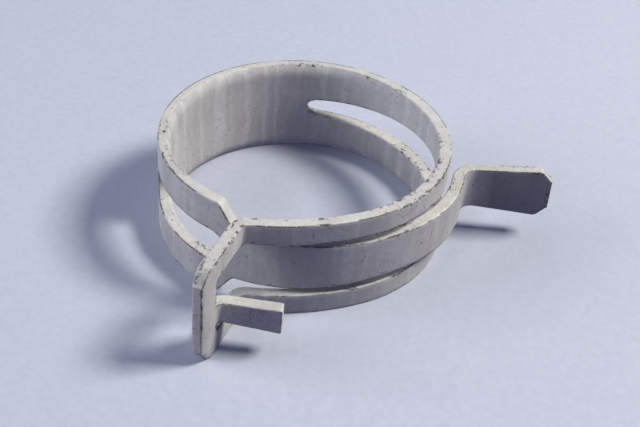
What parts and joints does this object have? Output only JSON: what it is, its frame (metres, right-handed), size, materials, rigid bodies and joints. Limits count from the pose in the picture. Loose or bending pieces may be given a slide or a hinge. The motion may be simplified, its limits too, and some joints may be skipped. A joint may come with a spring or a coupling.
{
  "type": "hose clamp",
  "caption": "Spring band hose clamp: a flat steel strip bent into a ring, its narrow tongue passing through a slotted fork, with outward jaws that pliers squeeze to open it.",
  "frame": {"origin": "centre of the bore, halfway across the band's width", "axes": "+Z along the bore axis; +X from the bore's centre towards the root of the tongue's jaw; -Y is the side with the overlap of tongue and fork"},
  "size_m": [0.0579, 0.0548, 0.015],
  "materials": {
    "spring_steel": "matte warm grey zinc-flake coating, chipped along the edges"
  },
  "bodies": {
    "bow": {"bow_centre": "spring_steel"},
    "bow_left": {"bow_left": "spring_steel"},
    "slot_end": {"slot_rear_end": "spring_steel"},
    "slot_rails": {"slot_upper_rail": "spring_steel", "slot_lower_rail": "spring_steel"},
    "shoulder": {"tongue_shoulder": "spring_steel"},
    "tongue_root": {"tongue_root": "spring_steel"},
    "tongue_middle": {"tongue_middle": "spring_steel"},
    "tongue_end": {"tongue_tip": "spring_steel", "tongue_jaw_bend": "spring_steel", "tongue_jaw_plate": "spring_steel"},
    "bow_right": {"bow_right": "spring_steel"},
    "fork_root": {"fork_root": "spring_steel"},
    "fork_arms_1": {"fork_upper_arm_1": "spring_steel", "fork_lower_arm_1": "spring_steel"},
    "fork_arms_2": {"fork_upper_arm_2": "spring_steel", "fork_lower_arm_2": "spring_steel"},
    "fork_arms_3": {"fork_upper_arm_3": "spring_steel", "fork_lower_arm_3": "spring_steel"},
    "fork_arms_4": {"fork_upper_arm_4": "spring_steel", "fork_lower_arm_4": "spring_steel"},
    "fork_end": {"fork_upper_arm_5": "spring_steel", "fork_lower_arm_5": "spring_steel", "fork_upper_bend": "spring_steel", "fork_lower_bend": "spring_steel", "fork_jaw_plate": "spring_steel", "stop_tab": "spring_steel"}
  },
  "joints": [
    {"name": "bow_left_flex", "type": "hinge", "parent": "bow", "child": "bow_left", "pos_m": [-0.0184, 0.01063, 0], "axis": [0, 0, -1], "range_deg": [0, 4.5], "stiffness_Nm_per_rad": 0.5},
    {"name": "slot_end_flex", "type": "hinge", "parent": "bow_left", "child": "slot_end", "pos_m": [-0.02125, 0.00037, 0], "axis": [0, 0, -1], "range_deg": [0, 4.5], "stiffness_Nm_per_rad": 0.5},
    {"name": "slot_rails_flex", "type": "hinge", "parent": "slot_end", "child": "slot_rails", "pos_m": [-0.01876, -0.00998, 0], "axis": [0, 0, -1], "range_deg": [0, 4.5], "stiffness_Nm_per_rad": 0.4},
    {"name": "shoulder_flex", "type": "hinge", "parent": "slot_rails", "child": "shoulder", "pos_m": [-0.01157, -0.01782, 0], "axis": [0, 0, -1], "range_deg": [0, 4.5], "stiffness_Nm_per_rad": 0.4},
    {"name": "tongue_root_flex", "type": "hinge", "parent": "shoulder", "child": "tongue_root", "pos_m": [-0.00148, -0.0212, 0], "axis": [0, 0, -1], "range_deg": [0, 4.5], "stiffness_Nm_per_rad": 0.4},
    {"name": "tongue_middle_flex", "type": "hinge", "parent": "tongue_root", "child": "tongue_middle", "pos_m": [0.00898, -0.01926, 0], "axis": [0, 0, -1], "range_deg": [0, 4.5], "stiffness_Nm_per_rad": 0.4},
    {"name": "tongue_end_flex", "type": "hinge", "parent": "tongue_middle", "child": "tongue_end", "pos_m": [0.0177, -0.01331, 0], "axis": [0, 0, -1], "range_deg": [0, 4.5], "stiffness_Nm_per_rad": 0.4},
    {"name": "opening", "type": "hinge", "parent": "bow", "child": "bow_right", "pos_m": [-0.01219, 0.01741, 0], "axis": [0, 0, 1], "range_deg": [0, 4.5], "stiffness_Nm_per_rad": 0.5},
    {"name": "fork_root_flex", "type": "hinge", "parent": "bow_right", "child": "fork_root", "pos_m": [-0.00185, 0.02117, 0], "axis": [0, 0, 1], "range_deg": [0, 4.5], "stiffness_Nm_per_rad": 0.5},
    {"name": "fork_arms_1_flex", "type": "hinge", "parent": "fork_root", "child": "fork_arms_1", "pos_m": [0.00898, 0.01926, 0], "axis": [0, 0, 1], "range_deg": [0, 4.5], "stiffness_Nm_per_rad": 0.4},
    {"name": "fork_arms_2_flex", "type": "hinge", "parent": "fork_arms_1", "child": "fork_arms_2", "pos_m": [0.01741, 0.01219, 0], "axis": [0, 0, 1], "range_deg": [0, 4.5], "stiffness_Nm_per_rad": 0.4},
    {"name": "fork_arms_3_flex", "type": "hinge", "parent": "fork_arms_2", "child": "fork_arms_3", "pos_m": [0.02117, 0.00185, 0], "axis": [0, 0, 1], "range_deg": [0, 4.5], "stiffness_Nm_per_rad": 0.4},
    {"name": "fork_arms_4_flex", "type": "hinge", "parent": "fork_arms_3", "child": "fork_arms_4", "pos_m": [0.01926, -0.00898, 0], "axis": [0, 0, 1], "range_deg": [0, 4.5], "stiffness_Nm_per_rad": 0.4},
    {"name": "fork_end_flex", "type": "hinge", "parent": "fork_arms_4", "child": "fork_end", "pos_m": [0.01219, -0.01741, 0], "axis": [0, 0, 1], "range_deg": [0, 4.5], "stiffness_Nm_per_rad": 0.4}
  ],
  "couplings": [
    {"joint": "bow_left_flex", "follows": "opening", "ratio": 1},
    {"joint": "slot_end_flex", "follows": "opening", "ratio": 1},
    {"joint": "slot_rails_flex", "follows": "opening", "ratio": 1},
    {"joint": "shoulder_flex", "follows": "opening", "ratio": 1},
    {"joint": "tongue_root_flex", "follows": "opening", "ratio": 1},
    {"joint": "tongue_middle_flex", "follows": "opening", "ratio": 1},
    {"joint": "tongue_end_flex", "follows": "opening", "ratio": 1},
    {"joint": "fork_root_flex", "follows": "opening", "ratio": 1},
    {"joint": "fork_arms_1_flex", "follows": "opening", "ratio": 1},
    {"joint": "fork_arms_2_flex", "follows": "opening", "ratio": 1},
    {"joint": "fork_arms_3_flex", "follows": "opening", "ratio": 1},
    {"joint": "fork_arms_4_flex", "follows": "opening", "ratio": 1},
    {"joint": "fork_end_flex", "follows": "opening", "ratio": 1}
  ]
}
